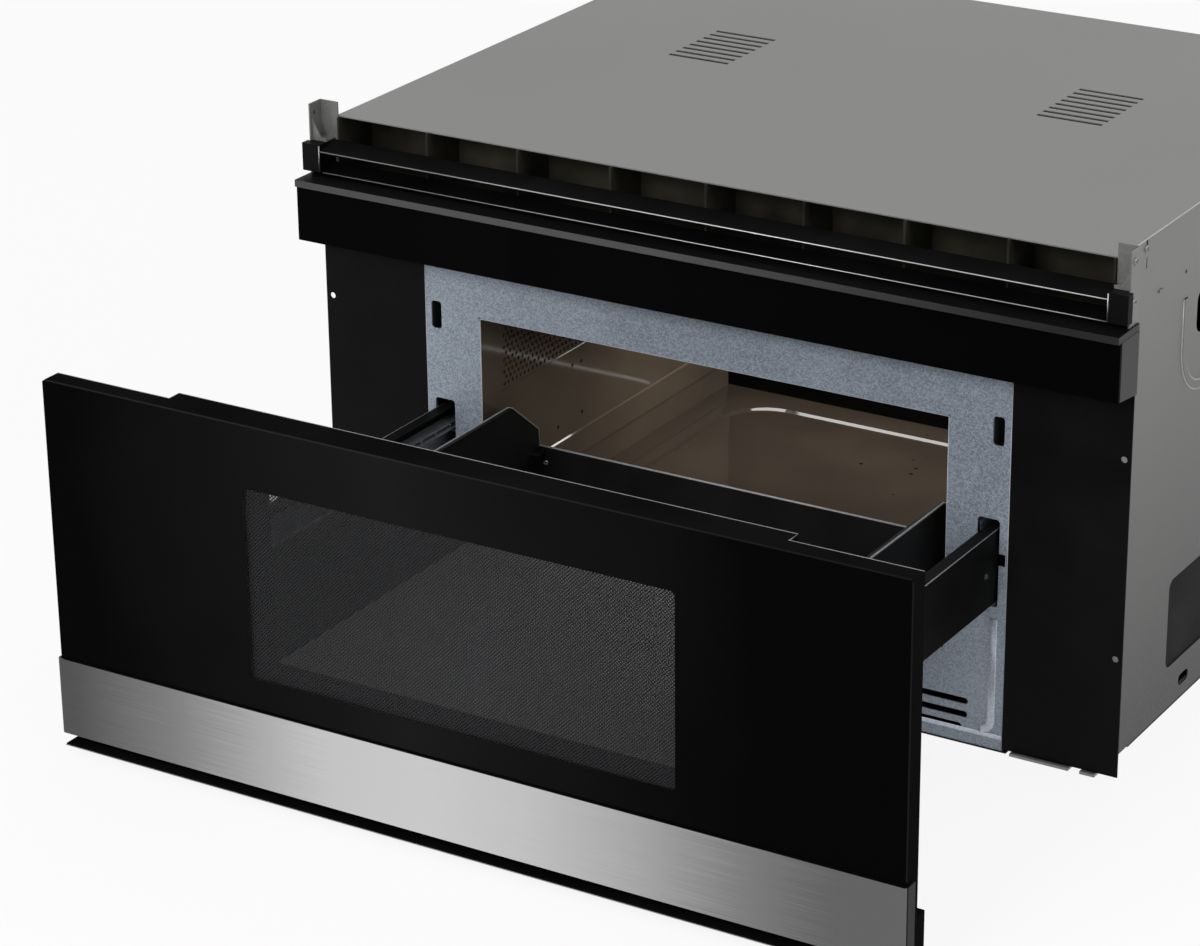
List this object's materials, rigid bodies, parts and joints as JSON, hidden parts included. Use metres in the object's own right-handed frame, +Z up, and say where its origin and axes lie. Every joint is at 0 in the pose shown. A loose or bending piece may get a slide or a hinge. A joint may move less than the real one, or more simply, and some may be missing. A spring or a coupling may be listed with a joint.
{
  "type": "microwave drawer",
  "caption": "Built-in microwave drawer, pulled out: steel case with cavity and front flanges, glass-fronted drawer with tray on slides, control panel and louvre.",
  "frame": {"origin": "on the underside of the base pan, at mid width, in line with the front face of the mounting flanges", "axes": "+X to the right as seen from the front, +Y into the cabinet, +Z up"},
  "size_m": [0.7628, 0.968, 0.45],
  "materials": {
    "case_steel": "grey zinc-coated sheet",
    "pan_steel": "dark coated sheet",
    "light_steel": "bright zinc-plated sheet",
    "black_steel": "matte black powder coat",
    "galvanised": "galvanised, fine spangle",
    "cavity_enamel": "glossy taupe enamel",
    "black_enamel": "glossy black enamel",
    "dark_plastic": "moulded, satin",
    "black_glass": "gloss black printed",
    "clear_glass": "tinted",
    "stainless": "brushed along its length",
    "grey_trim": "satin anodised",
    "circuit_board": "solder-masked board with parts",
    "bright_steel": "zinc-plated",
    "slide_steel": "zinc-plated, greased",
    "gear_nylon": "natural nylon",
    "motor_case": "grey motor housings",
    "plunger_red": "red moulded",
    "wave_steel": "aluminised sheet",
    "mica": "pressed mica sheet",
    "magnetron_metal": "passivated steel and fins",
    "lamp": "ceramic socket with a glass bulb",
    "screen_metal": "black perforated sheet",
    "tray_ceramic": "flat ceramic plate"
  },
  "bodies": {
    "case": {"side_panel_left": "case_steel", "side_panel_right": "case_steel", "top_panel": "case_steel", "rear_panel": "case_steel", "base_pan": "pan_steel", "front_feet": "light_steel", "side_vent_screens": "pan_steel", "cabinet_flanges": "black_steel", "front_plate": "galvanised", "cavity_floor": "cavity_enamel", "cavity_left_wall": "cavity_enamel", "cavity_right_wall": "cavity_enamel", "cavity_ceiling": "cavity_enamel", "cavity_back": "black_enamel", "cavity_lamp": "lamp", "control_housing": "dark_plastic", "control_glass": "black_glass", "cap_trim": "grey_trim", "control_board": "circuit_board", "louvre_ends": "dark_plastic", "louvre_blades": "grey_trim", "louvre_duct": "pan_steel", "tie_strips": "light_steel", "case_screws": "bright_steel", "rail_carrier_left": "galvanised", "rail_carrier_right": "galvanised", "fixed_slide_left": "slide_steel", "fixed_slide_right": "slide_steel", "shaft_bearings": "dark_plastic", "drawer_motor": "motor_case", "interlock_housings": "dark_plastic", "stirrer_dome": "wave_steel", "stirrer_motor": "motor_case", "stirrer_cover": "mica", "waveguide": "wave_steel", "magnetron": "magnetron_metal", "inverter": "circuit_board", "fan_housing": "dark_plastic", "fan_motor": "motor_case"},
    "drawer": {"door_frame": "dark_plastic", "door_glass": "black_glass", "handle_trim": "stainless", "window_screen": "screen_metal", "inner_window": "clear_glass", "tray_shell": "black_steel", "tray_plate": "tray_ceramic", "latch_hooks": "gear_nylon", "drawer_slide_left": "slide_steel", "drawer_slide_right": "slide_steel", "rail_bracket_left": "black_steel", "rail_bracket_right": "black_steel"},
    "mid_slide_left": {"mid_slide_left": "slide_steel"},
    "mid_slide_right": {"mid_slide_right": "slide_steel"},
    "idler_left": {"idler_gear_left": "gear_nylon"},
    "idler_right": {"idler_gear_right": "gear_nylon"},
    "cross_shaft": {"cross_shaft": "slide_steel"},
    "fan": {"fan_rotor": "dark_plastic"},
    "stirrer": {"stirrer_antenna": "wave_steel"},
    "plunger_left": {"interlock_plunger_left": "plunger_red"},
    "plunger_right": {"interlock_plunger_right": "plunger_red"}
  },
  "joints": [
    {"name": "drawer_slide", "type": "slide", "parent": "case", "child": "drawer", "axis": [0, -1, 0], "range_m": [-0.341, 0.04]},
    {"name": "mid_slide_left_slide", "type": "slide", "parent": "case", "child": "mid_slide_left", "axis": [0, -1, 0], "range_m": [-0.1705, 0.02]},
    {"name": "mid_slide_right_slide", "type": "slide", "parent": "case", "child": "mid_slide_right", "axis": [0, -1, 0], "range_m": [-0.1705, 0.02]},
    {"name": "idler_left_spin", "type": "hinge", "parent": "case", "child": "idler_left", "pos_m": [-0.2565, 0.032, 0.1055], "axis": [1, 0, 0], "range_deg": [-814.2, 95.6]},
    {"name": "idler_right_spin", "type": "hinge", "parent": "case", "child": "idler_right", "pos_m": [0.2565, 0.032, 0.1055], "axis": [1, 0, 0], "range_deg": [-814.2, 95.6]},
    {"name": "cross_shaft_spin", "type": "hinge", "parent": "case", "child": "cross_shaft", "pos_m": [0, 0.032, 0.0635], "axis": [1, 0, 0], "range_deg": [-127.4, 1085.6]},
    {"name": "fan_spin", "type": "hinge", "parent": "case", "child": "fan", "pos_m": [0.29, 0.4855, 0.09], "axis": [0, 1, 0], "continuous": true},
    {"name": "stirrer_spin", "type": "hinge", "parent": "case", "child": "stirrer", "pos_m": [0, 0.2119, 0.2894], "axis": [0, 0, 1], "continuous": true},
    {"name": "plunger_left_press", "type": "slide", "parent": "case", "child": "plunger_left", "axis": [0, 1, 0], "range_m": [0, 0.003], "stiffness_N_per_m": 150},
    {"name": "plunger_right_press", "type": "slide", "parent": "case", "child": "plunger_right", "axis": [0, 1, 0], "range_m": [0, 0.003], "stiffness_N_per_m": 150}
  ],
  "couplings": [
    {"joint": "mid_slide_left_slide", "follows": "drawer_slide", "ratio": 0.5},
    {"joint": "mid_slide_right_slide", "follows": "drawer_slide", "ratio": 0.5},
    {"joint": "idler_left_spin", "follows": "drawer_slide", "rad_per_m": 41.667},
    {"joint": "idler_right_spin", "follows": "drawer_slide", "rad_per_m": 41.667},
    {"joint": "cross_shaft_spin", "follows": "drawer_slide", "rad_per_m": -55.556}
  ]
}
